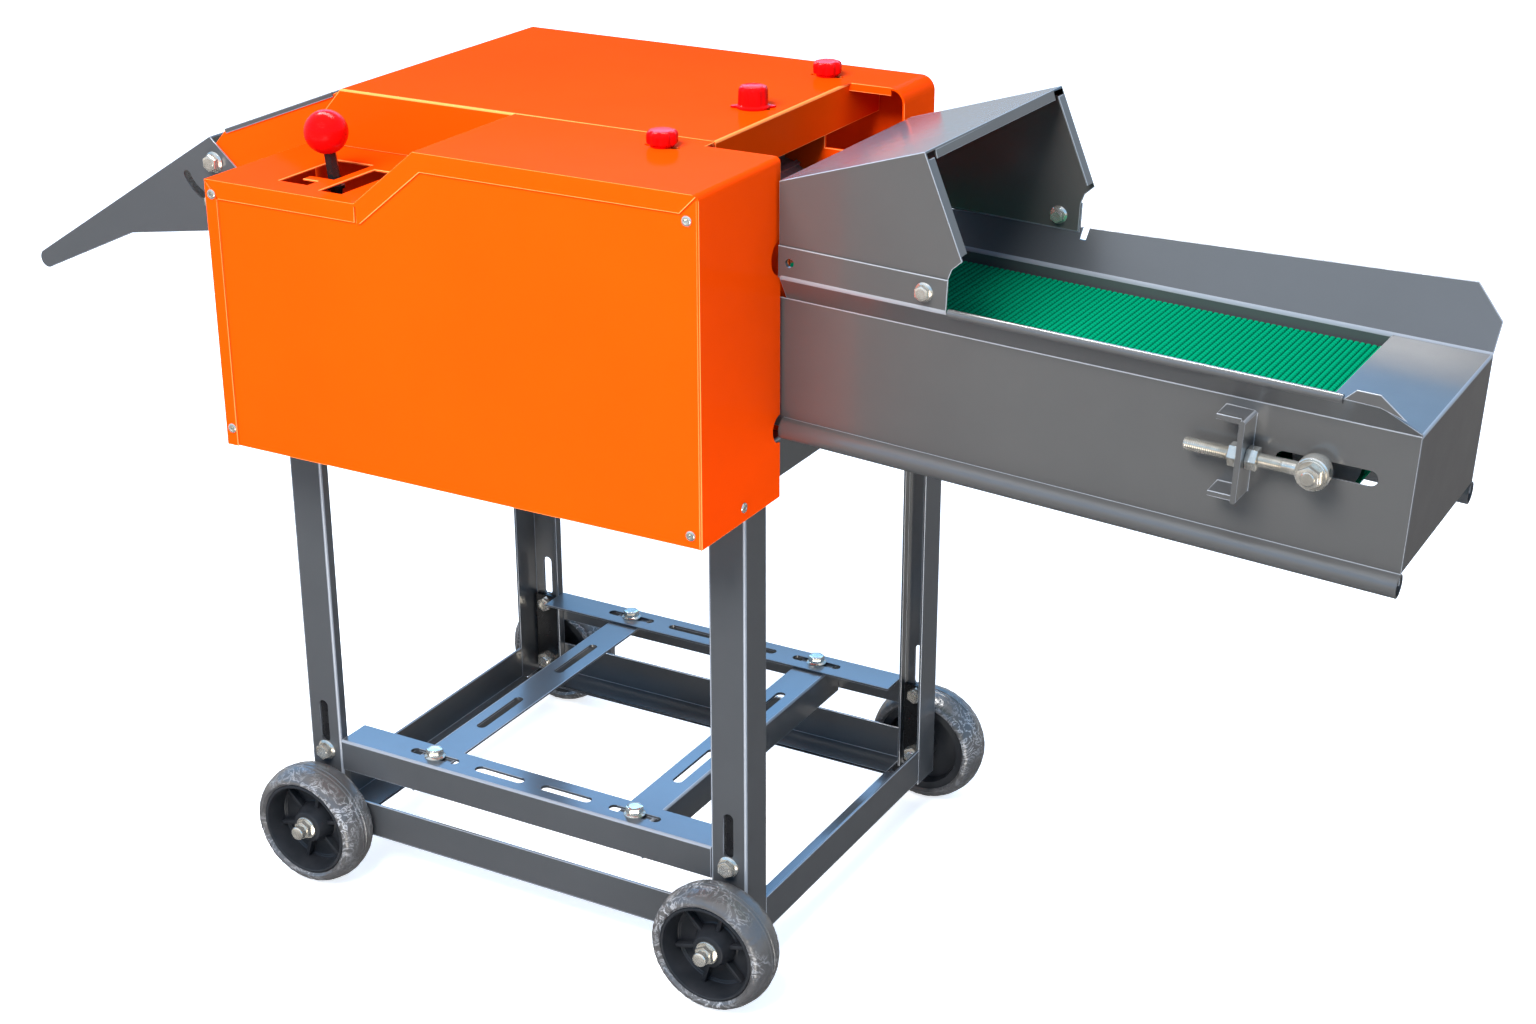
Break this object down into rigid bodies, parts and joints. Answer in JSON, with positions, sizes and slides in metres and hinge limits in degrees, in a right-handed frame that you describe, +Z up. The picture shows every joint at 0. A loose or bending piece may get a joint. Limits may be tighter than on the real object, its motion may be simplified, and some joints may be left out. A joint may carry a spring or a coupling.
{
  "type": "chaff cutter",
  "caption": "Powered fodder chopper: sheet-metal cutter casing on a wheeled angle-steel stand, with a conveyor feed trough and hood at one end and a hinged discharge deflector at the other.",
  "frame": {"origin": "on the floor, under the middle of the whole machine's box", "axes": "+X towards the feed end along the machine's length, +Y from the front cover to the back, +Z up"},
  "size_m": [1.5168, 0.5748, 0.8684],
  "materials": {
    "orange_paint": "orange powder coat, half gloss",
    "grey_paint": "dark grey powder coat, satin",
    "zinc": "zinc plated",
    "steel": "oiled bare steel",
    "cast_iron": "turned grey iron",
    "black_steel": "black oxide",
    "black_plastic": "black moulded plastic",
    "tyre": "grey solid rubber",
    "red_plastic": "red gloss plastic",
    "green_belt": "green woven-face conveyor belting",
    "black_rubber": "black rubber"
  },
  "bodies": {
    "base": {"front_side_plate": "orange_paint", "back_side_plate": "orange_paint", "top_cover": "orange_paint", "cover_surround": "orange_paint", "cover_panel": "orange_paint", "leg_front_left": "grey_paint", "leg_front_right": "grey_paint", "leg_back_left": "grey_paint", "leg_back_right": "grey_paint", "lower_rails": "grey_paint", "top_rails": "grey_paint", "motor_rails": "grey_paint", "motor_bars": "grey_paint", "axle_plates": "grey_paint", "chute_roof": "grey_paint", "trough_front_wall": "grey_paint", "trough_back_wall": "grey_paint", "end_cap": "grey_paint", "feed_hood": "grey_paint", "shaft_bearings": "grey_paint", "roller_bushes": "grey_paint", "frame_bolts": "zinc", "axle_bolts": "zinc", "deflector_bolts": "zinc", "cover_rivets": "zinc", "trough_fasteners": "zinc", "cover_studs": "zinc", "rotor_pan": "steel", "shear_bar": "steel", "lever_bracket": "steel", "belt_bed": "steel", "conveyor_belt": "green_belt", "small_drive_belt": "black_rubber"},
    "deflector": {"deflector": "grey_paint"},
    "shift_lever": {"shift_lever": "black_steel", "lever_ball": "red_plastic"},
    "rotor": {"main_shaft": "steel", "rotor_spiders": "steel", "knives": "steel", "drive_pulley": "cast_iron", "drive_pinion": "steel"},
    "idler": {"idler_gears": "steel"},
    "lower_roller": {"lower_feed_roller": "steel", "lower_roller_gears": "steel"},
    "upper_roller": {"upper_feed_roller": "steel", "upper_roller_gear": "steel"},
    "conveyor_drive": {"belt_drive_roller": "steel"},
    "tensioner": {"belt_tensioner": "zinc"},
    "tail": {"tail_roller": "steel"},
    "knob_front": {"knob_front": "red_plastic"},
    "knob_middle": {"knob_middle": "red_plastic"},
    "knob_back": {"knob_back": "red_plastic"},
    "wheel_front_left": {"wheel_hub_front_left": "black_plastic", "tyre_front_left": "tyre"},
    "wheel_front_right": {"wheel_hub_front_right": "black_plastic", "tyre_front_right": "tyre"},
    "wheel_back_left": {"wheel_hub_back_left": "black_plastic", "tyre_back_left": "tyre"},
    "wheel_back_right": {"wheel_hub_back_right": "black_plastic", "tyre_back_right": "tyre"}
  },
  "joints": [
    {"name": "rotor_spin", "type": "hinge", "parent": "base", "child": "rotor", "pos_m": [-0.12782, -0.01285, 0.666], "axis": [0, 1, 0], "continuous": true},
    {"name": "idler_spin", "type": "hinge", "parent": "base", "child": "idler", "pos_m": [-0.03793, -0.11885, 0.71831], "axis": [0, 1, 0], "continuous": true},
    {"name": "lower_roller_spin", "type": "hinge", "parent": "base", "child": "lower_roller", "pos_m": [0.04818, -0.01285, 0.66], "axis": [0, 1, 0], "continuous": true},
    {"name": "upper_roller_spin", "type": "hinge", "parent": "base", "child": "upper_roller", "pos_m": [0.04818, -0.01285, 0.737], "axis": [0, 1, 0], "continuous": true},
    {"name": "conveyor_drive_spin", "type": "hinge", "parent": "base", "child": "conveyor_drive", "pos_m": [0.12598, -0.01285, 0.6651], "axis": [0, 1, 0], "continuous": true},
    {"name": "belt_tension", "type": "slide", "parent": "base", "child": "tensioner", "axis": [0.999, 0, -0.0436], "range_m": [-0.02, 0]},
    {"name": "tail_roller_spin", "type": "hinge", "parent": "tensioner", "child": "tail", "pos_m": [0.67546, -0.01285, 0.64111], "axis": [0, 1, 0], "continuous": true},
    {"name": "wheel_front_left_spin", "type": "hinge", "parent": "base", "child": "wheel_front_left", "pos_m": [-0.34486, -0.22885, 0.066], "axis": [0, 1, 0], "continuous": true},
    {"name": "wheel_front_right_spin", "type": "hinge", "parent": "base", "child": "wheel_front_right", "pos_m": [0.14914, -0.22885, 0.066], "axis": [0, 1, 0], "continuous": true},
    {"name": "wheel_back_left_spin", "type": "hinge", "parent": "base", "child": "wheel_back_left", "pos_m": [-0.34486, 0.25315, 0.066], "axis": [0, 1, 0], "continuous": true},
    {"name": "wheel_back_right_spin", "type": "hinge", "parent": "base", "child": "wheel_back_right", "pos_m": [0.14914, 0.25315, 0.066], "axis": [0, 1, 0], "continuous": true},
    {"name": "shift_swing", "type": "hinge", "parent": "base", "child": "shift_lever", "pos_m": [-0.25509, -0.21585, 0.684], "axis": [1, 0, 0], "range_deg": [-20, 3]},
    {"name": "deflector_swing", "type": "hinge", "parent": "base", "child": "deflector", "pos_m": [-0.49786, -0.01285, 0.744], "axis": [0, -1, 0], "range_deg": [0, 45]},
    {"name": "knob_front_turn", "type": "hinge", "parent": "base", "child": "knob_front", "pos_m": [0.06214, -0.16085, 0.839], "axis": [0, 0, 1], "continuous": true},
    {"name": "knob_middle_turn", "type": "hinge", "parent": "base", "child": "knob_middle", "pos_m": [0.06214, 0.00515, 0.839], "axis": [0, 0, 1], "continuous": true},
    {"name": "knob_back_turn", "type": "hinge", "parent": "base", "child": "knob_back", "pos_m": [0.06214, 0.15615, 0.839], "axis": [0, 0, 1], "continuous": true}
  ],
  "couplings": [
    {"joint": "idler_spin", "follows": "rotor_spin", "ratio": -0.44444},
    {"joint": "lower_roller_spin", "follows": "rotor_spin", "ratio": 0.19753},
    {"joint": "upper_roller_spin", "follows": "rotor_spin", "ratio": -0.19753},
    {"joint": "conveyor_drive_spin", "follows": "rotor_spin", "ratio": 0.19753},
    {"joint": "tail_roller_spin", "follows": "rotor_spin", "ratio": 0.19753}
  ]
}
